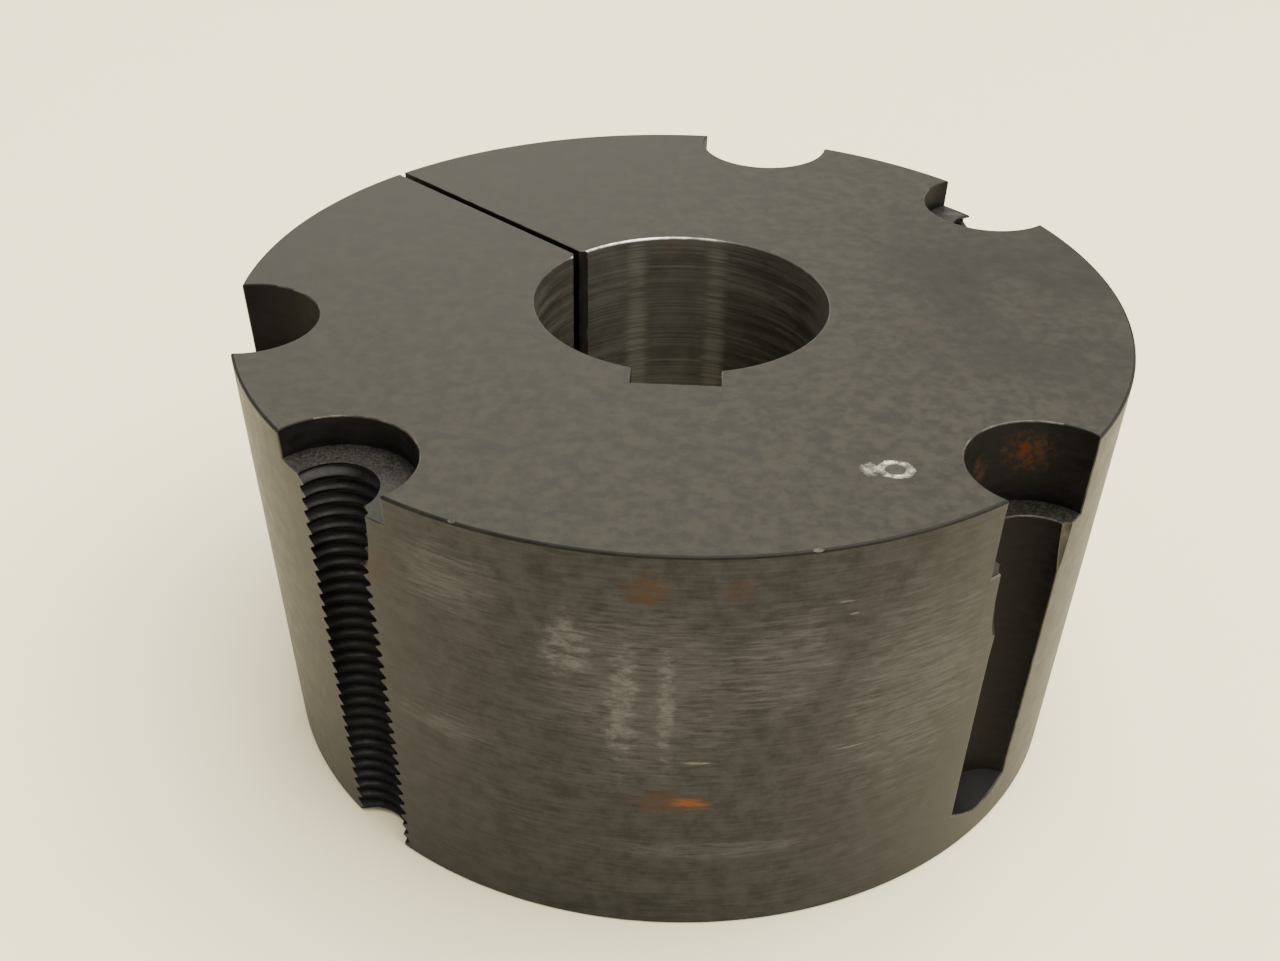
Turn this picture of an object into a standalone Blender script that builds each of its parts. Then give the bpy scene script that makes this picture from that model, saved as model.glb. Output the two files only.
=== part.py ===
"""A split taper bush in cast iron, standing on its small end with its axis on Z.

The casting is one ring, slit through at one side. Opposite the slit its wall is thinnest, and there it
flexes when the bush is clamped. It is modelled as the two jaws that the flexing wall joins, divided by a
narrow gap at that wall, so that one jaw can turn about it and close the slit.
"""

import math

import bmesh
import bpy
from mathutils import Vector

MM = 0.001

# The turned body
LARGE_END_RADIUS = 63.5 * MM
LENGTH = 63.5 * MM
TAPER_PER_SIDE = math.radians(4.0)
OUTER_EDGE_BREAK = 0.4 * MM
BODY_SEGMENTS = 128

# The shaft bore and its keyway
BORE_RADIUS = 21.0 * MM
BORE_EDGE_BREAK = 0.5 * MM
KEYWAY_ANGLE = math.radians(267.5)
KEYWAY_WIDTH = 12.0 * MM
KEYWAY_FLOOR_RADIUS = 24.3 * MM

# The slit, and the gap that stands in for the flexing wall opposite it
SLIT_ANGLE = math.radians(136.0)
SLIT_WIDTH = 1.2 * MM
# The slit's edges at the bore are cut back at 45 degrees, from this radius inward.
SLIT_MOUTH_RADIUS = 21.8 * MM
SLIT_MOUTH_DEPTH = 4.0 * MM
FLEX_GAP = 0.3 * MM
FLEX_RADIUS = 38.0 * MM

# The half-holes in the outside, which the hub's own half-holes make round
HOLE_CIRCLE_RADIUS = 61.5 * MM
COUNTERBORE_RADIUS = 10.3 * MM
HOLE_SEGMENTS = 32

SCREW_HOLE_RADIUS = 6.65 * MM
SCREW_COUNTERBORE_DEPTH = 12.1 * MM
SCREW_HOLE_WALL_END = 56.0 * MM
DRILL_POINT_LENGTH = 3.8 * MM

JACK_COUNTERBORE_DEPTH = 4.3 * MM
THREAD_PITCH = 25.4 / 13 * MM
THREAD_MAJOR_RADIUS = 6.35 * MM
THREAD_DEPTH = 0.5413 * THREAD_PITCH
THREAD_SEGMENTS = 16

# A cutter runs this far past the face that it cuts through
OVERRUN = 4.0 * MM

FLEX_ANGLE = SLIT_ANGLE + math.pi
FRONT_HOLE_ANGLE = math.radians(316.5)
KEYED_JAW_HOLES = {
    "screw_hole_left": math.radians(187.3),
    "jack_hole_left": math.radians(226.0),
}
PLAIN_JAW_HOLES = {
    "jack_hole_right": math.radians(36.0),
    "screw_hole_back": math.radians(76.0),
}


def clear_scene():
    for obj in list(bpy.data.objects):
        bpy.data.objects.remove(obj, do_unlink=True)


def at_angle(radius, angle, height=0.0):
    return Vector((radius * math.cos(angle), radius * math.sin(angle), height))


def iron_material(name, color, roughness):
    material = bpy.data.materials.new(name)
    material.use_nodes = True
    shader = material.node_tree.nodes["Principled BSDF"]
    shader.inputs["Base Color"].default_value = (*color, 1.0)
    shader.inputs["Roughness"].default_value = roughness
    shader.inputs["Metallic"].default_value = 0.75
    return material


def object_from(bm, name):
    bmesh.ops.recalc_face_normals(bm, faces=bm.faces[:])
    mesh = bpy.data.meshes.new(name)
    bm.to_mesh(mesh)
    bm.free()
    obj = bpy.data.objects.new(name, mesh)
    bpy.context.scene.collection.objects.link(obj)
    return obj


def mark_as_cutter(obj):
    obj.hide_render = True
    obj.display_type = "WIRE"
    return obj


def turned(outline, segments, name):
    """A solid of revolution about Z from (radius, height) points, closed where they meet the axis."""
    bm = bmesh.new()
    points = [bm.verts.new((radius, 0.0, height)) for radius, height in outline]
    ends_on_axis = outline[0][0] == 0.0
    count = len(points)
    last = count - 1 if ends_on_axis else count
    for i in range(last):
        bm.edges.new((points[i], points[(i + 1) % count]))
    bmesh.ops.spin(
        bm,
        geom=bm.verts[:] + bm.edges[:],
        axis=(0, 0, 1),
        angle=math.tau,
        steps=segments,
        use_merge=True,
    )
    bmesh.ops.remove_doubles(bm, verts=bm.verts[:], dist=0.001 * MM)
    return object_from(bm, name)


def bush_blank(name):
    """The turned ring before anything is cut into it, with every rim broken."""
    small_end_radius = LARGE_END_RADIUS - LENGTH * math.tan(TAPER_PER_SIDE)
    break_slope = OUTER_EDGE_BREAK * math.tan(TAPER_PER_SIDE)
    outline = (
        (BORE_RADIUS, BORE_EDGE_BREAK),
        (BORE_RADIUS + BORE_EDGE_BREAK, 0.0),
        (small_end_radius - OUTER_EDGE_BREAK, 0.0),
        (small_end_radius + break_slope, OUTER_EDGE_BREAK),
        (LARGE_END_RADIUS, LENGTH - OUTER_EDGE_BREAK),
        (LARGE_END_RADIUS - OUTER_EDGE_BREAK, LENGTH),
        (BORE_RADIUS + BORE_EDGE_BREAK, LENGTH),
        (BORE_RADIUS, LENGTH - BORE_EDGE_BREAK),
    )
    return turned(outline, BODY_SEGMENTS, name)


def halving_cutter(name, side):
    """Everything on one side of the diameter through the slit: half the slit, and half the flexing gap."""
    bm = bmesh.new()
    reach = 2 * LARGE_END_RADIUS
    along = at_angle(1.0, FLEX_ANGLE)
    across = at_angle(1.0, FLEX_ANGLE + side * math.pi / 2)
    outline = (
        (-reach, SLIT_WIDTH / 2),
        (-SLIT_MOUTH_RADIUS, SLIT_WIDTH / 2),
        (SLIT_MOUTH_DEPTH - SLIT_MOUTH_RADIUS, SLIT_WIDTH / 2 + SLIT_MOUTH_DEPTH),
        (0.0, SLIT_WIDTH / 2),
        (0.0, FLEX_GAP / 2),
        (reach, FLEX_GAP / 2),
        (reach, -reach),
        (-reach, -reach),
    )
    base = Vector((0, 0, -OVERRUN))
    corners = [bm.verts.new(base + along * a + across * b) for a, b in outline]
    face = bm.faces.new(corners)
    prism = bmesh.ops.extrude_face_region(bm, geom=[face])
    raised = [part for part in prism["geom"] if isinstance(part, bmesh.types.BMVert)]
    bmesh.ops.translate(bm, verts=raised, vec=(0, 0, LENGTH + 2 * OVERRUN))
    return mark_as_cutter(object_from(bm, name))


def keyway_cutter():
    """A long square bar, from the axis out to the keyway's floor."""
    bm = bmesh.new()
    bmesh.ops.create_cube(bm, size=1.0)
    height = LENGTH + 2 * OVERRUN
    bmesh.ops.scale(bm, verts=bm.verts[:], vec=(KEYWAY_FLOOR_RADIUS, KEYWAY_WIDTH, height))
    bar = mark_as_cutter(object_from(bm, "keyway_cutter"))
    bar.location = at_angle(KEYWAY_FLOOR_RADIUS / 2, KEYWAY_ANGLE, LENGTH / 2)
    bar.rotation_euler.z = KEYWAY_ANGLE
    return bar


def place_hole_cutter(cutter, angle):
    cutter.location = at_angle(HOLE_CIRCLE_RADIUS, angle)
    cutter.rotation_euler.z = angle
    return mark_as_cutter(cutter)


def screw_hole_cutter(name, angle):
    """A counterbore for a screw's head, over a smooth blind hole with a drill point."""
    floor = LENGTH - SCREW_COUNTERBORE_DEPTH
    wall_end = LENGTH - SCREW_HOLE_WALL_END
    outline = (
        (0.0, LENGTH + OVERRUN),
        (COUNTERBORE_RADIUS, LENGTH + OVERRUN),
        (COUNTERBORE_RADIUS, floor),
        (SCREW_HOLE_RADIUS, floor),
        (SCREW_HOLE_RADIUS, wall_end),
        (0.0, wall_end - DRILL_POINT_LENGTH),
    )
    return place_hole_cutter(turned(outline, HOLE_SEGMENTS, name + "_cutter"), angle)


def jack_counterbore_cutter(name, angle):
    """The shallow recess at the mouth of a threaded hole."""
    floor = LENGTH - JACK_COUNTERBORE_DEPTH
    outline = (
        (0.0, LENGTH + OVERRUN),
        (COUNTERBORE_RADIUS, LENGTH + OVERRUN),
        (COUNTERBORE_RADIUS, floor),
        (0.0, floor),
    )
    cutter = turned(outline, HOLE_SEGMENTS, name + "_counterbore_cutter")
    return place_hole_cutter(cutter, angle)


def thread_ridge():
    """One pitch of the thread's outline, as (radius, height): a narrow flat, a flank, a wide flat, a flank."""
    minor_radius = THREAD_MAJOR_RADIUS - THREAD_DEPTH
    flank = THREAD_DEPTH * math.tan(math.radians(30.0))
    major_flat = THREAD_PITCH / 8
    minor_flat = THREAD_PITCH - major_flat - 2 * flank
    return (
        (THREAD_MAJOR_RADIUS, 0.0),
        (THREAD_MAJOR_RADIUS, major_flat),
        (minor_radius, major_flat + flank),
        (minor_radius, major_flat + flank + minor_flat),
    )


def close_end(bm, height, keep_below):
    """Cuts the mesh flat at a height, drops what lies past it and fills the cut."""
    bmesh.ops.bisect_plane(
        bm,
        geom=bm.verts[:] + bm.edges[:] + bm.faces[:],
        plane_co=(0, 0, height),
        plane_no=(0, 0, 1),
        clear_outer=keep_below,
        clear_inner=not keep_below,
    )
    rim = [
        edge
        for edge in bm.edges
        if edge.is_boundary and all(abs(v.co.z - height) < 0.001 * MM for v in edge.verts)
    ]
    bmesh.ops.edgeloop_fill(bm, edges=rim)


def thread_cutter(name, angle):
    """A right-hand threaded bar that runs from inside the counterbore down past the small end."""
    bottom = -OVERRUN
    top = LENGTH - JACK_COUNTERBORE_DEPTH + THREAD_PITCH
    turns = math.ceil((top - bottom) / THREAD_PITCH) + 3
    start = bottom - 2 * THREAD_PITCH
    bm = bmesh.new()
    points = [
        bm.verts.new((radius, 0.0, start + turn * THREAD_PITCH + height))
        for turn in range(turns)
        for radius, height in thread_ridge()
    ]
    for lower, upper in zip(points, points[1:]):
        bm.edges.new((lower, upper))
    bmesh.ops.spin(
        bm,
        geom=bm.verts[:] + bm.edges[:],
        axis=(0, 0, 1),
        dvec=(0, 0, THREAD_PITCH / THREAD_SEGMENTS),
        angle=math.tau,
        steps=THREAD_SEGMENTS,
    )
    bmesh.ops.remove_doubles(bm, verts=bm.verts[:], dist=0.001 * MM)
    close_end(bm, top, keep_below=True)
    close_end(bm, bottom, keep_below=False)
    return place_hole_cutter(object_from(bm, name + "_thread_cutter"), angle)


def hole_cutters(holes):
    cutters = []
    for name, angle in holes.items():
        if name.startswith("jack"):
            cutters.append(jack_counterbore_cutter(name, angle))
            cutters.append(thread_cutter(name, angle))
        else:
            cutters.append(screw_hole_cutter(name, angle))
    return cutters


def cut(obj, cutters):
    for cutter in cutters:
        modifier = obj.modifiers.new(cutter.name, "BOOLEAN")
        modifier.operation = "DIFFERENCE"
        modifier.solver = "EXACT"
        modifier.object = cutter


def jaw(name, side, cutters, material):
    """One side of the bush: the blank, less the other side and less its own holes."""
    body = bush_blank(name)
    body.data.materials.append(material)
    body.data.shade_smooth()
    body.data.set_sharp_from_angle(angle=math.radians(30.0))
    cut(body, [halving_cutter(name + "_halving_cutter", side), *cutters])
    return body


def flex_axis():
    """The line in the middle of the flexing wall about which the plain jaw turns."""
    axis = bpy.data.objects.new("flex_axis", None)
    axis.location = at_angle(FLEX_RADIUS, FLEX_ANGLE)
    bpy.context.scene.collection.objects.link(axis)
    return axis


def build():
    clear_scene()
    front_hole = screw_hole_cutter("screw_hole_front", FRONT_HOLE_ANGLE)
    keyed_cutters = [front_hole, keyway_cutter(), *hole_cutters(KEYED_JAW_HOLES)]
    plain_cutters = [front_hole, *hole_cutters(PLAIN_JAW_HOLES)]
    iron = iron_material("keyed_jaw_iron", (0.115, 0.108, 0.096), 0.5)
    jaw("keyed_jaw", -1, keyed_cutters, iron)
    iron = iron_material("plain_jaw_iron", (0.115, 0.108, 0.096), 0.5)
    plain_jaw = jaw("plain_jaw", 1, plain_cutters, iron)
    axis = flex_axis()
    plain_jaw.parent = axis
    plain_jaw.location = -axis.location


build()
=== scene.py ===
# %% [markdown]
# # A split taper bush
# A taper bush fixes a pulley or a sprocket to a shaft. It is one casting of grey iron, turned to a cone
# outside and bored straight inside. A slit runs through one wall, so that the cone closes on the shaft as
# screws draw it into the hub. The screws lie half in the bush and half in the hub, which is why the outside
# carries five half-round holes.
#
# The frame is the working model of the same bush. It gives the size and the two jaws that move.

# %% Load the frame
import math

import bmesh
import bpy
from mathutils import Matrix, Vector, noise


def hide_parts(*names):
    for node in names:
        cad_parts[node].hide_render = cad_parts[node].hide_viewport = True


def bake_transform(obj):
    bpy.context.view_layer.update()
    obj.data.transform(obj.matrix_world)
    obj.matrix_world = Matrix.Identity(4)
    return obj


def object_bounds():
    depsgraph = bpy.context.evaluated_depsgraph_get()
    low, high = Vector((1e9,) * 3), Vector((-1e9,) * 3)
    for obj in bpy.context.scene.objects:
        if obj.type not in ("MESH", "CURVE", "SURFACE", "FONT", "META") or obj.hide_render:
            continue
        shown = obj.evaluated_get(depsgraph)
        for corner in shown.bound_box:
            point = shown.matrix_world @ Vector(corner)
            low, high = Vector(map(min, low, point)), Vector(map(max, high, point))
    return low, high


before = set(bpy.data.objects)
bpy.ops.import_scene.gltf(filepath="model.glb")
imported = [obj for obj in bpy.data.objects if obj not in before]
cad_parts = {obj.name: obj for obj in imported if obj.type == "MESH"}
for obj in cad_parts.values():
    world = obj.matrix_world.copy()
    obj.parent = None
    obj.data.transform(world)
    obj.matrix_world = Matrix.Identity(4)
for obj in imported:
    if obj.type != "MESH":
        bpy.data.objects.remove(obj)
cad_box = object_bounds()
MM = 0.001

# %% [markdown]
# ## The sizes that drive everything
# The bush stands on its small end. Its length and its largest radius come from the frame, and the rest are
# the sizes that a machinist would find on the drawing: an 8 degree cone, a 42 mm bore, five holes on one
# circle. Angles are in degrees and are counted from the X axis.

# %% Driving sizes
large_radius = max(cad_box[1].x, cad_box[1].y)
length = cad_box[1].z
taper = math.radians(4.0)
small_radius = large_radius - length * math.tan(taper)
bore_radius = 21.0 * MM
hole_circle = 61.5 * MM
counterbore_radius = 10.3 * MM
slit_angle = 136.0
keyway_angle = 267.5
screw_angles = (316.5, 187.3, 76.0)
jack_angles = (226.0, 36.0)
print(f"cone {large_radius / MM:.1f} to {small_radius / MM:.1f} mm, {length / MM:.1f} mm long")

# %% [markdown]
# ## Finding a place on the bush
# Stains, nicks and holes sit on a round body, so it is easier to say where they are by an angle and a depth
# than by X, Y and Z. These helpers turn one into the other. Blender works in metres, and a machinist in
# millimetres, so one of them does that step too.


# %% Places
def mm(*values):
    """These millimetres as a tuple of metres."""
    return tuple(value * MM for value in values)


def at_angle(radius, degrees, height=0.0):
    """The point at this radius, angle and height."""
    angle = math.radians(degrees)
    return Vector((radius * math.cos(angle), radius * math.sin(angle), height))


def on_cone(degrees, depth):
    """The point of the cone at this angle, and this many millimetres below the large end."""
    height = length - depth * MM
    return at_angle(small_radius + height * math.tan(taper), degrees, height)


def on_face(x, y):
    """The point of the large end this many millimetres from the axis."""
    return Vector((*mm(x, y), length))


print("front of the upper rim:", [round(c / MM, 1) for c in on_cone(270, 0)], "mm")

# %% [markdown]
# ## The camera
# The camera stands a little over a quarter of a metre from the bush, looks down at it by 33 degrees, and is
# tipped by one degree. Its matrix is built from the three directions it is made of: to its right, up, and
# backwards. That is safer than three turns, whose order is easy to get wrong.

# %% Camera
camera_tilt = math.radians(32.91)
camera_roll = math.radians(1.08)
camera_lens = 48.4
camera_place = Vector((-5.47, -220.95, 175.58)) * MM
ahead = Vector((0, math.cos(camera_tilt), -math.sin(camera_tilt)))
above = Vector((0, math.sin(camera_tilt), math.cos(camera_tilt)))
across = Vector((1, 0, 0))
right = across * math.cos(camera_roll) + above * math.sin(camera_roll)
up = above * math.cos(camera_roll) - across * math.sin(camera_roll)
camera_data = bpy.data.cameras.new("camera")
camera_data.lens = camera_lens
camera_data.clip_start = 0.01
camera = bpy.data.objects.new("camera", camera_data)
camera.matrix_world = Matrix((right, up, -ahead)).transposed().to_4x4()
camera.matrix_world.translation = camera_place
bpy.context.scene.collection.objects.link(camera)
bpy.context.scene.camera = camera
print("camera distance", round(camera.matrix_world.translation.length, 4), "m from the origin")

# %% [markdown]
# ## The bench top
# The bush stands on a pale bench. A single square of mesh is enough, as nothing touches it but a shadow.
# Its cream colour matters more than its shape, because the sides of the bush mirror it.


# %% Bench top
def bench_material():
    """A matt cream top."""
    material = bpy.data.materials.new("bench_top")
    material.use_nodes = True
    shader = material.node_tree.nodes["Principled BSDF"]
    shader.inputs["Base Color"].default_value = (0.91, 0.83, 0.58, 1.0)
    shader.inputs["Roughness"].default_value = 0.6
    shader.inputs["Specular IOR Level"].default_value = 0.25
    return material


bench_reach = 3.0
bench_mesh = bmesh.new()
bmesh.ops.create_grid(bench_mesh, x_segments=1, y_segments=1, size=bench_reach)
bench_data = bpy.data.meshes.new("bench")
bench_mesh.to_mesh(bench_data)
bench_mesh.free()
bench = bpy.data.objects.new("bench", bench_data)
bench.data.materials.append(bench_material())
bpy.context.scene.collection.objects.link(bench)
print("bench:", [round(side, 2) for side in bench.dimensions.xy], "m")

# %% [markdown]
# ## The light
# Dull iron shows mostly what it reflects: the pale bench in its sides and the room in its flat top. So an
# even, warm room lights everything, and one wide panel overhead adds the soft shadows. The panel is wide,
# because a small lamp would leave hard glints on iron this dark. Three weak panels, behind and at both
# sides, lift the edges a little.

# %% Light panels
lamp_color = (1.0, 0.965, 0.87)
room_color = (1.0, 0.96, 0.87, 1.0)
room_strength = 0.85
bush_middle = Vector((0, 0, 0.03))


def light_panel(name, place, size, power):
    """A soft rectangular lamp that faces the middle of the bush."""
    data = bpy.data.lights.new(name, "AREA")
    data.shape = "RECTANGLE"
    data.size, data.size_y = size
    data.energy = power
    data.color = lamp_color
    lamp = bpy.data.objects.new(name, data)
    lamp.location = place
    lamp.rotation_euler = (bush_middle - Vector(place)).to_track_quat("-Z", "Y").to_euler()
    bpy.context.scene.collection.objects.link(lamp)


light_panel("top_panel", place=(0.45, -0.05, 1.45), size=(1.9, 1.6), power=84)
light_panel("back_panel", place=(-0.4, 1.6, 0.95), size=(1.2, 0.9), power=6)
light_panel("left_panel", place=(-1.5, 0.3, 0.7), size=(1.2, 0.9), power=2)
light_panel("right_panel", place=(1.5, 0.3, 0.7), size=(1.2, 0.9), power=4)
world = bpy.data.worlds.new("room")
world.use_nodes = True
world.node_tree.nodes["Background"].inputs["Color"].default_value = room_color
world.node_tree.nodes["Background"].inputs["Strength"].default_value = room_strength
bpy.context.scene.world = world

# %% [markdown]
# ## How the finishes are made
# Each finish is a small node tree. Nodes can be placed one by one, but the same few turn up in every finish,
# so each gets a helper: a noise, a map from one range to another, a blend of two colours and a patch. All of
# them read the Object coordinates, so nothing shifts when a modifier changes the mesh.


# %% Node helpers
def start_material(name, metallic):
    """A new material, its node tree and its shader."""
    material = bpy.data.materials.new(name)
    material.use_nodes = True
    shader = material.node_tree.nodes["Principled BSDF"]
    shader.inputs["Metallic"].default_value = metallic
    return material, material.node_tree, shader


def node(tree, kind, links=None, **settings):
    """Adds a node. The links go input: output of another node, and plain values are set."""
    made = tree.nodes.new(kind)
    for key, value in settings.items():
        setattr(made, key, value)
    for key, value in (links or {}).items():
        if isinstance(value, bpy.types.NodeSocket):
            tree.links.new(value, made.inputs[key])
        else:
            made.inputs[key].default_value = value
    return made


def math_node(tree, operation, first, second=0.0):
    """One sum, product or other step of arithmetic."""
    return node(tree, "ShaderNodeMath", {0: first, 1: second}, operation=operation).outputs[0]


def stretched_noise(tree, scales, detail=3.0, roughness=0.55):
    """Noise whose grains are 1/scale metres long on each axis."""
    place = node(tree, "ShaderNodeTexCoord").outputs["Object"]
    scaled = node(tree, "ShaderNodeVectorMath", {0: place, 1: scales}, operation="MULTIPLY")
    links = {"Vector": scaled.outputs[0], "Scale": 1.0, "Detail": detail, "Roughness": roughness}
    return node(tree, "ShaderNodeTexNoise", links).outputs[0]


def spread(tree, value, low, high, to_low=0.0, to_high=1.0):
    """Maps low..high to to_low..to_high with soft ends."""
    links = {"Value": value, "From Min": low, "From Max": high, "To Min": to_low, "To Max": to_high}
    made = node(tree, "ShaderNodeMapRange", links, interpolation_type="SMOOTHSTEP")
    return made.outputs["Result"]


def blend_colors(tree, amount, first, second):
    """The first color where the amount is 0, the second where it is 1."""
    links = {0: amount, 6: first, 7: second}
    return node(tree, "ShaderNodeMix", links, data_type="RGBA").outputs[2]


def spot(tree, center, reach, ragged, grain):
    """A speckled patch: about 1 at the center, 0 beyond the reach, a radius on each axis in metres."""
    place = node(tree, "ShaderNodeTexCoord").outputs["Object"]
    offset = node(tree, "ShaderNodeVectorMath", {0: place, 1: center}, operation="SUBTRACT")
    links = {0: offset.outputs[0], 1: reach}
    scaled = node(tree, "ShaderNodeVectorMath", links, operation="DIVIDE")
    distance = node(tree, "ShaderNodeVectorMath", {0: scaled.outputs[0]}, operation="LENGTH")
    breakup = stretched_noise(tree, grain, detail=4.0, roughness=0.7)
    rough_edge = math_node(tree, "MULTIPLY_ADD", breakup, 2 * ragged)
    rough_edge.node.inputs[2].default_value = -ragged
    wobbled = math_node(tree, "ADD", distance.outputs["Value"], rough_edge)
    speckle = spread(tree, breakup, low=0.64, high=0.38, to_low=0.2)
    return math_node(tree, "MULTIPLY", spread(tree, wobbled, low=1.0, high=0.2), speckle)


print("node helpers ready")

# %% [markdown]
# ## One recipe for every iron surface
# Grey iron is dark, slightly warm and only half metallic to the eye, because its skin is oxide and old oil.
# Noise stretched along the tool's path makes the tool marks, and rounder noise makes the mottling. Both feed
# the colour and the roughness, and the marks also feed a very shallow bump. One recipe with a few numbers
# keeps all the finishes alike, as they are cut in the same iron.

# %% Iron recipe
fine_grain = (2600.0, 2600.0, 2600.0)


def iron_finish(
    name,
    dark,
    light,
    marks,
    marks_share=0.5,
    contrast=(0.3, 0.7),
    roughness=(0.42, 0.6),
    metallic=0.45,
    bump=0.25,
    bump_depth=0.02 * MM,
    gloss=0.5,
    mottle=170.0,
    patches=(),
):
    """Tool marks over mottling, with the patches on top."""
    material, tree, shader = start_material(name, metallic)
    shader.inputs["Specular IOR Level"].default_value = gloss
    tool = stretched_noise(tree, marks)
    mottling = stretched_noise(tree, (mottle, mottle, mottle), detail=5.0, roughness=0.65)
    marks_part = math_node(tree, "MULTIPLY", tool, marks_share)
    mottling_part = math_node(tree, "MULTIPLY", mottling, 1 - marks_share)
    mixed = math_node(tree, "ADD", marks_part, mottling_part)
    color = blend_colors(tree, spread(tree, mixed, *contrast), (*dark, 1.0), (*light, 1.0))
    rough = spread(tree, mixed, *contrast, *roughness)
    for patch_color, strength, patch_roughness, grain, spots in patches:
        for center, reach, ragged in spots:
            made = spot(tree, center, reach, ragged, grain)
            amount = math_node(tree, "MULTIPLY", made, strength)
            color = blend_colors(tree, amount, color, (*patch_color, 1.0))
            links = {0: amount, 2: rough, 3: patch_roughness}
            rough = node(tree, "ShaderNodeMix", links, data_type="FLOAT").outputs[0]
    tree.links.new(color, shader.inputs["Base Color"])
    tree.links.new(rough, shader.inputs["Roughness"])
    relief = math_node(tree, "ADD", stretched_noise(tree, fine_grain, detail=2.0), tool)
    links = {"Height": relief, "Strength": bump, "Distance": bump_depth}
    tree.links.new(node(tree, "ShaderNodeBump", links).outputs[0], shader.inputs["Normal"])
    return material


# %% [markdown]
# ## Stains, rust and rubbed places
# Iron that has been stored and handled is never one colour. Noise alone would scatter the stains anywhere,
# so each one is given a place, a radius on each axis, and how ragged its edge is. Round grain suits rust and
# stains, and level grain suits whatever was rubbed along with the lathe's marks.


# %% Patches
def patch(color, strength, roughness, grain, *spots):
    """One kind of stain or wear. Each spot is (center, reach, ragged)."""
    return color, strength, roughness, grain, spots


rust = (0.135, 0.045, 0.016)
deep_rust = (0.055, 0.016, 0.005)
brown_stain = (0.045, 0.022, 0.011)
round_grain = (900.0, 900.0, 900.0)
level_grain = (240.0, 240.0, 2400.0)
print("rust:", rust, "brown stain:", brown_stain)

# %% [markdown]
# ## Faced iron
# The large end was faced on the lathe, so its marks are rings too fine to see, and it looks almost even. One
# side is darker, there is one brown spot, and a rub and a scrape lie round the place of a dent.

# %% Faced iron
dent_x, dent_y = 25.6, -44.2
faced_iron = iron_finish(
    "faced_iron",
    (0.0150, 0.0132, 0.0096),
    (0.0295, 0.0262, 0.0196),
    marks=(700.0, 700.0, 700.0),
    contrast=(0.36, 0.64),
    roughness=(0.50, 0.58),
    gloss=0.42,
    mottle=330.0,
    patches=(
        patch(brown_stain, 0.5, 0.6, round_grain, (on_face(32.9, -5.5), mm(1.6, 2.2, 2), 0.6)),
        patch(
            (0.0085, 0.0064, 0.0048),
            0.75,
            0.64,
            (45.0, 45.0, 45.0),
            (on_face(54, 6), mm(36, 44, 20), 0.25),
        ),
        patch(
            (0.30, 0.29, 0.26),
            0.9,
            0.45,
            round_grain,
            (on_face(dent_x - 3.0, dent_y), mm(1.4, 1.7, 1), 0.8),
        ),
        patch(
            (0.042, 0.040, 0.034),
            0.7,
            0.5,
            round_grain,
            (on_face(dent_x, dent_y), mm(2.7, 2.4, 1), 0.5),
        ),
    ),
)
print("made", faced_iron.name)

# %% [markdown]
# ## Turned iron
# The cone carries faint level scratches from the turning and from the hub it has sat in. It is paler where
# the hub rubbed it, has a few short bright scratches, and shows brown stains with one fresh spot of rust.

# %% Turned iron
rubbed_places = (
    (on_cone(266, 22), mm(15, 14, 19), 0.9),
    (on_cone(241, 34), mm(10, 9, 2.6), 0.9),
    (on_cone(243, 9), mm(8, 8, 7), 0.9),
    (on_cone(281.5, 17), mm(8, 6, 11), 0.9),
    (on_cone(298, 26), mm(14, 12, 20), 0.9),
    (on_cone(274, 49), mm(18, 8, 2.0), 0.9),
)
upright_streaks = (
    (on_cone(263.4, 24), mm(2.6, 5, 13), 0.9),
    (on_cone(268.3, 24), mm(1.4, 5, 12), 0.9),
    (on_cone(257, 15), mm(4, 5, 6), 0.9),
)
brown_places = (
    (on_cone(265.8, 5.2), mm(3.8, 5, 3.6), 0.8),
    (on_cone(268.5, 40), mm(6.5, 5, 2.6), 0.8),
    (on_cone(235.3, 4.4), mm(1.3, 1.3, 1.1), 0.6),
)
faint_brown_places = (
    (on_cone(275.6, 5.1), mm(2.6, 5, 2.4), 0.8),
    (on_cone(233, 12), mm(3, 5, 4), 0.8),
)
scratches = (
    (on_cone(272.4, 32.8), mm(2.2, 2, 0.32), 0.7),
    (on_cone(287.3, 8.3), mm(1.4, 2, 0.28), 0.7),
    (on_cone(288.6, 10.5), mm(0.8, 2, 0.3), 0.7),
    (on_cone(290.6, 33.0), mm(1.8, 2, 0.28), 0.7),
)
turned_iron = iron_finish(
    "turned_iron",
    (0.0098, 0.0095, 0.0105),
    (0.0345, 0.0336, 0.0370),
    marks=(200.0, 200.0, 2400.0),
    marks_share=0.4,
    contrast=(0.32, 0.70),
    roughness=(0.42, 0.56),
    metallic=0.3,
    gloss=0.17,
    mottle=380.0,
    patches=(
        patch((0.090, 0.089, 0.096), 0.33, 0.44, level_grain, *rubbed_places),
        patch((0.125, 0.123, 0.130), 0.42, 0.42, (420.0, 420.0, 900.0), *upright_streaks),
        patch(brown_stain, 0.8, 0.6, round_grain, *brown_places),
        patch(brown_stain, 0.45, 0.6, round_grain, *faint_brown_places),
        patch(rust, 0.9, 0.7, level_grain, (on_cone(271.5, 40.2), mm(2.8, 4, 1.5), 0.9)),
        patch((0.17, 0.16, 0.138), 0.6, 0.38, level_grain, *scratches),
    ),
)
print("made", turned_iron.name, "with", len(rubbed_places), "rubbed places")
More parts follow.
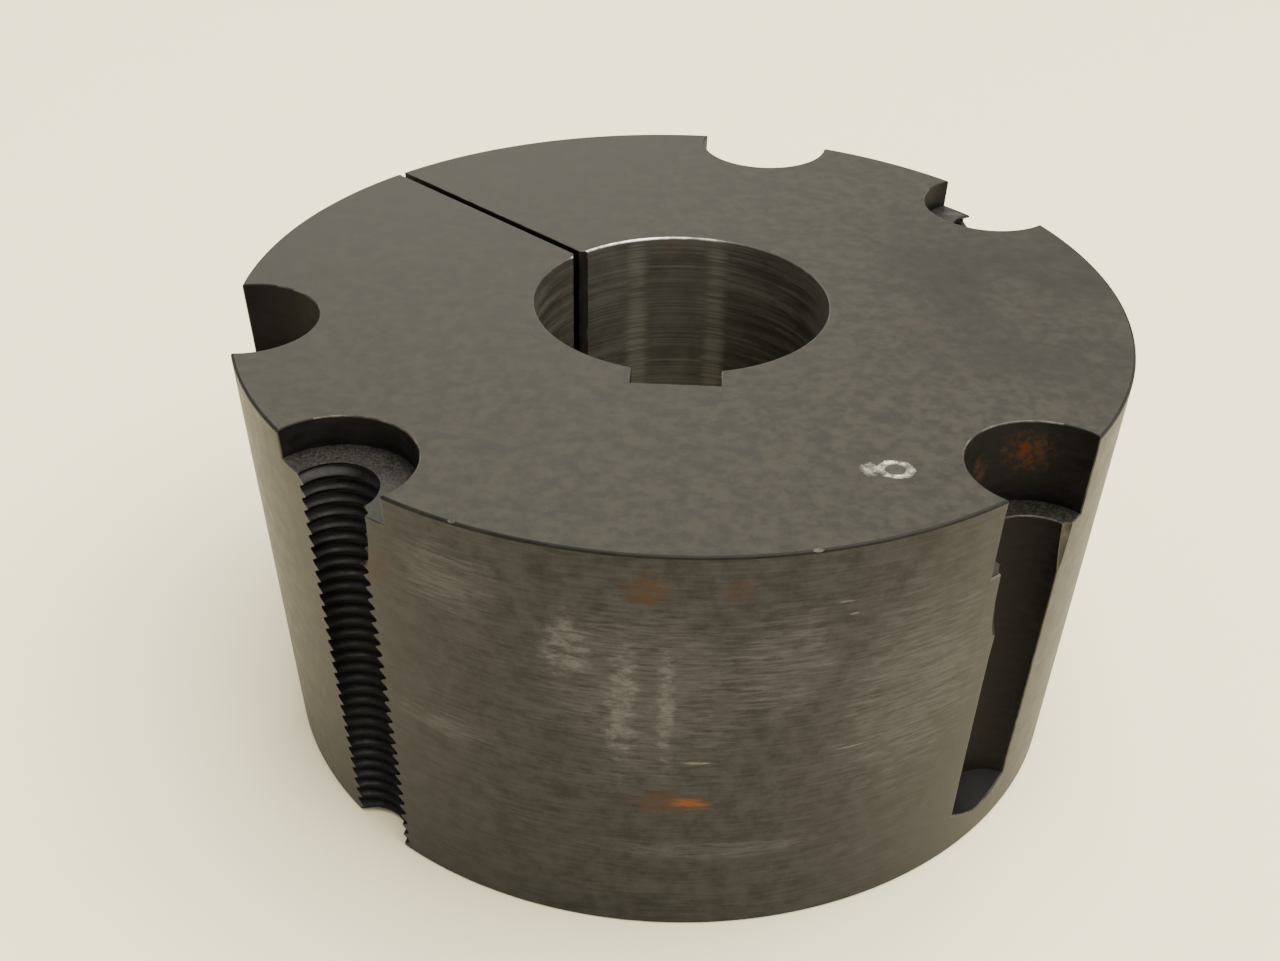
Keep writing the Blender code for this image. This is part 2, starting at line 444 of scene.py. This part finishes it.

# %% [markdown]
# ## Bored iron
# The bore is the brightest surface, because a shaft has polished it. The boring tool left clear rings, so
# its marks are stretched very long round the wall and are thin upwards. Two stretches of the wall carry
# painted shade, two narrow upright bands are painted highlights, and three specks of rust lie near the top.

# %% Bored iron
bore_middle = 32 * MM
# The height of the middle of the two painted highlight bands.
painted_highlight_middle = 42 * MM
bored_iron = iron_finish(
    "bored_iron",
    (0.070, 0.066, 0.055),
    (0.205, 0.194, 0.166),
    marks=(16.0, 16.0, 2900.0),
    marks_share=0.6,
    contrast=(0.25, 0.75),
    roughness=(0.36, 0.5),
    metallic=0.7,
    bump=0.5,
    patches=(
        # Painted shade: two darker stretches of the bore wall, where little light falls.
        patch(
            (0.05, 0.046, 0.037),
            0.9,
            0.5,
            (60.0, 60.0, 900.0),
            (at_angle(bore_radius, 40, bore_middle), mm(15, 15, 60), 0.7),
            (at_angle(bore_radius, 163, bore_middle), mm(15, 15, 90), 0.3),
        ),
        # Painted highlights: two bright upright bands of reflected light in the bore wall.
        patch(
            (0.42, 0.40, 0.345),
            0.5,
            0.34,
            (30.0, 30.0, 2900.0),
            (at_angle(bore_radius, 108, painted_highlight_middle), mm(2.2, 3, 34), 0.8),
            (at_angle(bore_radius, 74, painted_highlight_middle), mm(2.2, 3, 34), 0.8),
        ),
        patch(
            rust,
            0.5,
            0.6,
            round_grain,
            (at_angle(bore_radius, 110.3, length - 7.4 * MM), mm(1.0, 1.0, 0.8), 0.5),
            (at_angle(bore_radius, 93.3, length - 1.4 * MM), mm(1.6, 1.0, 0.8), 0.5),
            (at_angle(bore_radius, 74.4, length - 8.6 * MM), mm(1.2, 1.0, 0.6), 0.5),
        ),
    ),
)
print("made", bored_iron.name)

# %% [markdown]
# ## Milled and drilled iron
# The keyway was milled, which leaves upright marks. The holes were drilled and never see a cloth, so they
# stay nearly black with oil, with rust in the wall of the front one. The level ledges that the drill's
# larger step leaves have a finish of their own with finer marks, made greyer as painted light, because they
# face up.

# %% Milled and drilled iron
milled_iron = iron_finish(
    "milled_iron",
    (0.011, 0.0098, 0.0080),
    (0.028, 0.0255, 0.0215),
    marks=(2200.0, 2200.0, 60.0),
    marks_share=0.6,
)
rusty_wall = Vector(mm(44.5, -32.0, 59.0))
rusty_wall_left = Vector(mm(38.2, -34.8, 57.5))
rust_heart = Vector(mm(44.5, -32.0, 59.1))
drilled_iron = iron_finish(
    "drilled_iron",
    (0.004, 0.0037, 0.0038),
    (0.0105, 0.0098, 0.0102),
    marks=(300.0, 300.0, 1200.0),
    roughness=(0.5, 0.7),
    metallic=0.15,
    gloss=0.08,
    bump=0.6,
    patches=(
        patch(
            brown_stain,
            0.7,
            0.7,
            round_grain,
            (rusty_wall, mm(4.5, 3, 4), 0.8),
            (rusty_wall_left, mm(1.6, 2, 3), 0.7),
        ),
        patch(deep_rust, 0.95, 0.7, round_grain, (rust_heart, mm(1.9, 2, 1.9), 0.6)),
    ),
)
# Painted light: the ledges facing up are painted greyer than the drilled walls.
painted_light_ledge_iron = iron_finish(
    "painted_light_ledge_iron",
    (0.0092, 0.0085, 0.0076),
    (0.029, 0.0268, 0.0238),
    marks=(3200.0, 3200.0, 3200.0),
    marks_share=0.7,
    contrast=(0.36, 0.68),
    roughness=(0.4, 0.6),
    metallic=0.3,
    gloss=0.3,
    bump=0.6,
)
print("made", milled_iron.name, drilled_iron.name, painted_light_ledge_iron.name)

# %% [markdown]
# ## Threads and edges
# A thread holds grease, so it is the blackest finish and glistens a little. Edges show where the bush was
# knocked and handled: bare and bright round the bore, where shafts slide in, with a painted highlight at
# the back of the bore's rim. The outer rims are dark, partly from a darker skin and partly as painted shade,
# because a rounded edge mirrors less light than the flat beside it.

# %% Threads and edges
threaded_iron = iron_finish(
    "threaded_iron",
    (0.0022, 0.0020, 0.0019),
    (0.0075, 0.0071, 0.0067),
    marks=(900.0, 900.0, 900.0),
    roughness=(0.25, 0.55),
    metallic=0.0,
    gloss=0.12,
    bump=0.8,
)
worn_iron = iron_finish(
    "worn_iron",
    (0.018, 0.0165, 0.0138),
    (0.075, 0.070, 0.060),
    marks=(420.0, 420.0, 420.0),
    contrast=(0.42, 0.64),
    roughness=(0.40, 0.55),
    gloss=0.35,
)
# Painted shade: the outer rims are darkened, partly for a darker skin and partly for the less light they
# mirror.
rim_skin_and_shade_iron = iron_finish(
    "rim_skin_and_shade_iron",
    (0.0045, 0.0040, 0.0034),
    (0.013, 0.0118, 0.010),
    marks=(300.0, 300.0, 300.0),
    roughness=(0.5, 0.6),
    metallic=0.2,
    gloss=0.15,
)
bare_and_highlight_iron = iron_finish(
    "bare_and_highlight_iron",
    (0.014, 0.0130, 0.0110),
    (0.050, 0.047, 0.040),
    marks=(420.0, 420.0, 420.0),
    roughness=(0.3, 0.45),
    metallic=0.6,
    patches=(
        # Painted highlight: a near-white patch on the back of the bore's rim, where it catches the light.
        patch(
            (0.80, 0.77, 0.69),
            1.0,
            0.3,
            (150.0, 150.0, 150.0),
            (at_angle(bore_radius, 108, length), mm(16, 12, 6), 0.3),
        ),
        patch(
            (0.36, 0.34, 0.30),
            0.9,
            0.4,
            round_grain,
            (on_face(dent_x, dent_y), mm(6, 6, 6), 0.5),
        ),
    ),
)
print("finishes:", [m.name for m in bpy.data.materials if m.name.endswith("_iron")])

# %% [markdown]
# ## The turned blank
# On a lathe the bush starts as a ring. Half of its cross-section is drawn in the XZ plane and spun round
# the axis. A spin is truer to the object than a stretched cylinder, because the cone and the bore come from
# one outline. Four corners are enough, and the rims are rounded afterwards.

# %% Turned blank
body_steps = 384
merge_distance = 0.001 * MM


def spun(bm, outline, steps, on_axis=False):
    """Spins (radius, height) points round Z. An outline that starts and ends on the axis isn't closed."""
    points = [bm.verts.new((radius, 0.0, height)) for radius, height in outline]
    pairs = list(zip(points, points[1:]))
    if not on_axis:
        pairs.append((points[-1], points[0]))
    edges = [bm.edges.new(pair) for pair in pairs]
    bmesh.ops.spin(
        bm, geom=points + edges, axis=(0, 0, 1), angle=math.tau, steps=steps, use_merge=True
    )
    bmesh.ops.remove_doubles(bm, verts=bm.verts[:], dist=merge_distance)
    bmesh.ops.recalc_face_normals(bm, faces=bm.faces[:])


def object_from(bm, name, *materials):
    """Ends the bmesh and gives the object made of it."""
    mesh = bpy.data.meshes.new(name)
    bm.to_mesh(mesh)
    bm.free()
    obj = bpy.data.objects.new(name, mesh)
    for material in materials:
        mesh.materials.append(material)
    bpy.context.scene.collection.objects.link(obj)
    return obj


blank_mesh = bmesh.new()
spun(
    blank_mesh,
    ((bore_radius, 0.0), (small_radius, 0.0), (large_radius, length), (bore_radius, length)),
    body_steps,
)
for face in blank_mesh.faces:
    if abs(face.normal.z) > 0.9:
        face.material_index = 0
    elif face.calc_center_median().xy.length > 1.5 * bore_radius:
        face.material_index = 1
    else:
        face.material_index = 2
bush = object_from(blank_mesh, "bush", faced_iron, turned_iron, bored_iron)
print("blank faces:", len(bush.data.polygons))

# %% [markdown]
# ## The keyway and the slit
# Each cut is made with a solid in the shape of the space it leaves, as a Boolean does it: a bar for the
# keyway and a thin plate for the slit. Every plug carries the finish that its tool leaves, and the Boolean
# passes that finish on to the walls it cuts. The slit's mouth in the bore is wider, because its sharp edges
# are cut back at 45 degrees, so a square bar stands on edge there.

# %% Plugs for the keyway and the slit
overrun = 5.0 * MM


def bar(name, low, high, degrees, material, own_turn=0.0):
    """A square bar from low to high, turned about its own middle and then about Z."""
    size = Vector(high) - Vector(low)
    middle = (Vector(high) + Vector(low)) / 2
    bm = bmesh.new()
    bmesh.ops.create_cube(bm, size=1.0)
    bmesh.ops.scale(bm, verts=bm.verts[:], vec=size)
    own = Matrix.Rotation(math.radians(own_turn), 3, "Z")
    bmesh.ops.rotate(bm, verts=bm.verts[:], cent=(0, 0, 0), matrix=own)
    bmesh.ops.translate(bm, verts=bm.verts[:], vec=middle)
    turn = Matrix.Rotation(math.radians(degrees), 3, "Z")
    bmesh.ops.rotate(bm, verts=bm.verts[:], cent=(0, 0, 0), matrix=turn)
    return object_from(bm, name, material)


half_keyway = 6.0 * MM
half_slit = 0.6 * MM
keyway_floor = 24.3 * MM
mouth_tip = 22.4 * MM
half_mouth_bar = 2.5 * MM
mouth_middle = mouth_tip - half_mouth_bar * math.sqrt(2)
floor, roof = -overrun, length + overrun
straight_plugs = [
    bar(
        "keyway_plug",
        (0.0, -half_keyway, floor),
        (keyway_floor, half_keyway, roof),
        keyway_angle,
        milled_iron,
    ),
    bar(
        "slit_plug",
        (0.0, -half_slit, floor),
        (large_radius + overrun, half_slit, roof),
        slit_angle,
        drilled_iron,
    ),
    bar(
        "slit_mouth_plug",
        (mouth_middle - half_mouth_bar, -half_mouth_bar, floor),
        (mouth_middle + half_mouth_bar, half_mouth_bar, roof),
        slit_angle,
        milled_iron,
        own_turn=45.0,
    ),
]
print("straight plugs:", len(straight_plugs))

# %% [markdown]
# ## The holes
# A clamping screw's hole has a wide step for the screw's head, a narrower wall and a drill's point at its
# blind end, so its plug is one stepped outline spun round. A jack screw's hole gets only its wide mouth
# here, as its thread is cut later. Their circle lies near the rim, so each plug cuts only half a hole.

# %% Plugs for the screw holes and the jack holes' mouths
hole_steps = 96
screw_radius = 6.65 * MM
screw_floor = length - 12.1 * MM
screw_wall_end = length - 56.0 * MM
drill_point = 3.8 * MM
jack_floor = length - 4.3 * MM
screw_outline = (
    (0.0, roof),
    (counterbore_radius, roof),
    (counterbore_radius, screw_floor),
    (screw_radius, screw_floor),
    (screw_radius, screw_wall_end),
    (0.0, screw_wall_end - drill_point),
)
mouth_outline = (
    (0.0, roof),
    (counterbore_radius, roof),
    (counterbore_radius, jack_floor),
    (0.0, jack_floor),
)


def move_to_hole(bm, degrees):
    """Turns the bmesh and moves it to the hole at this angle."""
    turn = Matrix.Rotation(math.radians(degrees), 3, "Z")
    bmesh.ops.rotate(bm, verts=bm.verts[:], cent=(0, 0, 0), matrix=turn)
    bmesh.ops.translate(bm, verts=bm.verts[:], vec=at_angle(hole_circle, degrees))


def round_plug(name, outline, degrees):
    """The outline spun round, at the hole at this angle."""
    bm = bmesh.new()
    spun(bm, outline, hole_steps, on_axis=True)
    move_to_hole(bm, degrees)
    return object_from(bm, name, drilled_iron)


round_plugs = [round_plug(f"screw_plug_{a}", screw_outline, a) for a in screw_angles]
round_plugs += [round_plug(f"mouth_plug_{a}", mouth_outline, a) for a in jack_angles]
print("round plugs:", len(round_plugs))

# %% [markdown]
# ## Cutting
# One Boolean modifier for each plug takes it out of the blank, and all are applied at once. The exact solver
# is slower than the fast one, but it leaves a closed mesh where plugs meet. The level faces that the drills
# leave then get the ledge finish, greyer with painted light.


# %% Cut
def apply_modifiers(obj):
    """Replaces the object's mesh by what its modifiers make of it."""
    bpy.context.view_layer.update()
    evaluated = obj.evaluated_get(bpy.context.evaluated_depsgraph_get())
    finished = bpy.data.meshes.new_from_object(evaluated)
    obj.modifiers.clear()
    obj.data = finished


def cut_away(obj, plugs):
    """Applies one Boolean for each plug and deletes the plugs."""
    for plug in plugs:
        modifier = obj.modifiers.new(plug.name, "BOOLEAN")
        modifier.operation = "DIFFERENCE"
        modifier.solver = "EXACT"
        modifier.material_mode = "TRANSFER"
        modifier.object = plug
    apply_modifiers(obj)
    for plug in plugs:
        bpy.data.objects.remove(plug, do_unlink=True)


cut_away(bush, straight_plugs + round_plugs)
bush.data.materials.append(painted_light_ledge_iron)
names = [material.name for material in bush.data.materials]
for face in bush.data.polygons:
    # Drilled faces that point up get the painted light of the ledge finish.
    if face.material_index == names.index("drilled_iron") and face.normal.z > 0.95:
        face.material_index = names.index("painted_light_ledge_iron")
print("faces after cutting:", len(bush.data.polygons), names)

# %% [markdown]
# ## Getting ready for broken edges
# The cutters leave sharp corners, which a file or a tumbler knocks off. Before they can be rounded, flat
# faces are joined into one each, so that only real edges are left. A vertex that lies closer to a corner
# than the rounding is wide would be overrun by it, so it is merged into the corner.

# %% Join flat faces
corner_reach = 0.75 * MM
flat_enough = math.radians(0.2)
sharp = math.radians(35)
edge_mesh = bmesh.new()
edge_mesh.from_mesh(bush.data)
bmesh.ops.remove_doubles(edge_mesh, verts=edge_mesh.verts[:], dist=0.02 * MM)
bmesh.ops.dissolve_limit(
    edge_mesh,
    angle_limit=flat_enough,
    verts=edge_mesh.verts[:],
    edges=edge_mesh.edges[:],
    delimit={"MATERIAL"},
)


def is_sharp(edge):
    """Whether the two faces at this edge meet at a clear angle."""
    return edge.is_manifold and edge.calc_face_angle(0) > sharp


corners = [v for v in edge_mesh.verts if sum(is_sharp(e) for e in v.link_edges) > 2]
targets = {}
for corner in corners:
    for edge in corner.link_edges:
        near = edge.other_vert(corner)
        if edge.calc_length() < corner_reach and near not in corners:
            targets[near] = corner
bmesh.ops.weld_verts(edge_mesh, targetmap=targets)
print("corners:", len(corners), "merged neighbours:", len(targets))

# %% [markdown]
# ## How much each edge is broken
# The outer rims are knocked the most, the bore's rims nearly as much, and the edges of the slit hardly at
# all. A Bevel modifier reads such shares from an attribute on the edges, so one modifier can round them all
# and still work out neat corners where three of them meet. Only outward edges get a share.

# %% Weigh the outward edges
at_surface = 0.1 * MM
level_within = 0.01 * MM
slit_reach = 2.6 * MM
rim_share, bore_share, slit_share, other_share = 1.0, 0.75, 0.3, 0.5


def edge_weight(edge):
    """How wide this edge's rounding is, as a share of the outer rims'."""
    middle = (edge.verts[0].co + edge.verts[1].co) / 2
    ends = [v.co.xy.length for v in edge.verts]
    level = abs(edge.verts[0].co.z - edge.verts[1].co.z) < level_within
    across_slit = middle.xy.dot(at_angle(1.0, slit_angle + 90).xy)
    if level and min(ends) > small_radius - at_surface and middle.z < at_surface:
        return rim_share
    if level and min(ends) > large_radius - at_surface and middle.z > length - at_surface:
        return rim_share
    if level and max(ends) < bore_radius + at_surface:
        return bore_share
    if abs(across_slit) < slit_reach and middle.xy.dot(at_angle(1.0, slit_angle).xy) > 0:
        return slit_share
    return other_share


weights = edge_mesh.edges.layers.float.new("bevel_weight_edge")
outward = [edge for edge in edge_mesh.edges if is_sharp(edge) and edge.is_convex]
for edge in outward:
    edge[weights] = edge_weight(edge)
edge_mesh.to_mesh(bush.data)
edge_mesh.free()
print("outward edges:", len(outward))

# %% [markdown]
# ## Rounding
# Three segments are enough for an edge this small. All the rounded faces start as worn iron. Those at the
# outer rims then become the dark rim finish with its painted shade, and those round the bore's two ends the
# bright one with its painted highlight.

# %% Round the outward edges
rim_width = 0.4 * MM
end_zone = 0.46 * MM
outer_zone = 0.5 * MM
bore_zone = 0.4 * MM
for material in (worn_iron, rim_skin_and_shade_iron, bare_and_highlight_iron):
    bush.data.materials.append(material)
slots = {material.name: i for i, material in enumerate(bush.data.materials)}
rounding = bush.modifiers.new("rounding", "BEVEL")
rounding.limit_method = "WEIGHT"
rounding.offset_type = "OFFSET"
rounding.width = rim_width
rounding.segments = 3
rounding.profile = 0.5
rounding.use_clamp_overlap = False
rounding.loop_slide = False
rounding.material = slots["worn_iron"]
apply_modifiers(bush)
for face in bush.data.polygons:
    reach = face.center.xy.length
    at_an_end = abs(face.center.z - length / 2) > length / 2 - end_zone
    if face.material_index != slots["worn_iron"] or not at_an_end:
        continue
    # Painted shade on the outer rims, painted highlight round the bore's ends.
    if reach > small_radius - outer_zone:
        face.material_index = slots["rim_skin_and_shade_iron"]
    elif reach < bore_radius + bore_zone:
        face.material_index = slots["bare_and_highlight_iron"]
print("faces after rounding:", len(bush.data.polygons))

# %% [markdown]
# ## Threads
# A jack screw turns in each of these two holes to push the bush out of its hub. The thread is a real helix:
# the outline of the ridges is spun once round while it climbs by one pitch, so that each ridge runs into
# the next. The outline is a wave, because a tapped and used thread in iron has lost its sharp crests. The
# threaded bar is cut flat at both ends and then cut out of the casting.

# %% Threads
pitch = 25.4 / 13 * MM
thread_depth = 0.56 * pitch
groove_fullness = 0.8
major_radius = 6.35 * MM
thread_steps = 72
ridge_points = 12


def close_end(bm, height, keep_below):
    """Cuts a tube flat at a height, drops what lies past it and fills the cut."""
    bmesh.ops.bisect_plane(
        bm,
        geom=bm.verts[:] + bm.edges[:] + bm.faces[:],
        plane_co=(0, 0, height),
        plane_no=(0, 0, 1),
        clear_outer=keep_below,
        clear_inner=not keep_below,
    )
    rim = [
        edge
        for edge in bm.edges
        if edge.is_boundary and all(abs(v.co.z - height) < merge_distance for v in edge.verts)
    ]
    bmesh.ops.edgeloop_fill(bm, edges=rim)


def ridge_radius(turn):
    """The bar's radius at this share of the pitch: a wave, a little fuller at its crest."""
    wave = 0.5 + 0.5 * math.cos(math.tau * turn)
    return major_radius - thread_depth * (1 - wave**groove_fullness)


def threaded_bar(degrees):
    """A right-hand threaded bar at the hole at this angle, from below the bush up into the mouth."""
    bottom = -overrun
    top = jack_floor + 0.8 * pitch
    count = (math.ceil((top - bottom) / pitch) + 3) * ridge_points
    bm = bmesh.new()
    points = [
        bm.verts.new(
            (ridge_radius(i / ridge_points), 0.0, bottom + (i / ridge_points - 2) * pitch)
        )
        for i in range(count)
    ]
    edges = [bm.edges.new(pair) for pair in zip(points, points[1:])]
    bmesh.ops.spin(
        bm,
        geom=points + edges,
        axis=(0, 0, 1),
        dvec=(0, 0, pitch / thread_steps),
        angle=math.tau,
        steps=thread_steps,
    )
    bmesh.ops.remove_doubles(bm, verts=bm.verts[:], dist=merge_distance)
    close_end(bm, top, keep_below=True)
    close_end(bm, bottom, keep_below=False)
    bmesh.ops.recalc_face_normals(bm, faces=bm.faces[:])
    move_to_hole(bm, degrees)
    return object_from(bm, f"thread_bar_{degrees}", threaded_iron)


cut_away(bush, [threaded_bar(degrees) for degrees in jack_angles])
print("faces after threading:", len(bush.data.polygons))

# %% [markdown]
# ## The ring dent
# Something hard and round has stamped a shallow ring into the face. A bump in the material would vanish at
# a low angle, so a thin ring is cut out of the mesh. The ring is shaken by a noise and squeezed a little, so
# that it isn't a perfect circle.

# %% Ring dent
dent_radius, dent_half_width, dent_half_height = 1.85, 0.62, 0.42
dent_squeeze = 0.88
dent_lift = 0.2 * MM
dent_mesh = bmesh.new()
turns = [math.tau * i / 12 for i in range(12)]
ring = [
    mm(dent_radius + dent_half_width * math.cos(turn), dent_half_height * math.sin(turn))
    for turn in turns
]
spun(dent_mesh, ring, 72)
for vert in dent_mesh.verts:
    push = 1 + 0.10 * noise.noise(Vector((vert.co.x, vert.co.y, 0)) * 1400)
    lift = 0.10 * MM * noise.noise(Vector((vert.co.x, vert.co.y, 7 * MM)) * 1500)
    vert.co.x *= push
    vert.co.y *= dent_squeeze * push
    vert.co.z += lift
dent_place = Vector((*mm(dent_x, dent_y), length + dent_lift))
bmesh.ops.translate(dent_mesh, verts=dent_mesh.verts[:], vec=dent_place)
plugs = [object_from(dent_mesh, "dent_plug", bare_and_highlight_iron)]
print("dent:", round(2 * (dent_radius + dent_half_width), 1), "mm across")

# %% [markdown]
# ## Nicks, worn lips and a knocked corner
# Two small nicks sit in the upper rim. The thin edges where a hole breaks out through the cone wear away
# first, so the front hole has a worn lip on each side and the left threaded hole has one. Long, flat balls
# make all of these, because a blow leaves a hollow of its own shape. The corner beside the right jack hole
# is cut off straight, so a bar does that.


# %% Nicks and worn lips
def ball(name, center, radii, material=worn_iron):
    """A stretched ball to cut with."""
    bm = bmesh.new()
    bmesh.ops.create_icosphere(bm, subdivisions=3, radius=1.0)
    bmesh.ops.scale(bm, verts=bm.verts[:], vec=radii)
    bmesh.ops.translate(bm, verts=bm.verts[:], vec=center)
    return object_from(bm, name, material)


plugs.append(ball("rim_nick", on_cone(283.7, -0.5), mm(1.2, 0.8, 0.75)))
plugs.append(ball("rim_nick_left", on_cone(244.5, -0.5), mm(1.0, 0.75, 0.7)))
plugs.append(ball("left_lip", on_cone(310.2, 12.6), mm(1.6, 1.6, 11.5), drilled_iron))
plugs.append(ball("thread_lip", on_cone(231.2, 5.2), mm(1.5, 1.5, 8), threaded_iron))
plugs.append(ball("right_lip", on_cone(322.6, 12.5), mm(1.0, 1.0, 9)))
print("nicks and lips:", len(plugs) - 1)

# %% Knocked corner
corner_angle = jack_angles[1] + 9.15
corner_cut = 0.85 * MM
cut_length, cut_half_width = 5 * MM, 4 * MM
outward_turn = -7.8
corner_place = at_angle(large_radius, corner_angle)
along = corner_place.dot(at_angle(1.0, outward_turn))
aside = corner_place.dot(at_angle(1.0, outward_turn + 90))
plugs.append(
    bar(
        "back_corner",
        (along - corner_cut, aside - cut_half_width, jack_floor),
        (along + cut_length, aside + cut_half_width, roof),
        outward_turn,
        worn_iron,
    )
)
cut_away(bush, plugs)
print("faces after the dents:", len(bush.data.polygons))

# %% [markdown]
# ## Shading
# Smooth shading makes the many strips of the cone look like one surface, and the edges sharper than 38
# degrees stay crisp. Large flat faces would still pick up a false curve from the small rounded ones beside
# them, so a Weighted Normal modifier lets the large faces decide.

# %% Shading
bush.data.shade_smooth()
bush.data.set_sharp_from_angle(angle=math.radians(38))
weighted = bush.modifiers.new("flat_faces_stay_flat", "WEIGHTED_NORMAL")
weighted.keep_sharp = True
weighted.weight = 60
print("shaded:", bush.name)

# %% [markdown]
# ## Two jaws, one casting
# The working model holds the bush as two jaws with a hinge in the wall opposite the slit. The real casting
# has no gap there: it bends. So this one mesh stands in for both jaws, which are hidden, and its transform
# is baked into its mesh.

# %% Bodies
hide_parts("keyed_jaw", "plain_jaw")
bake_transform(bush)
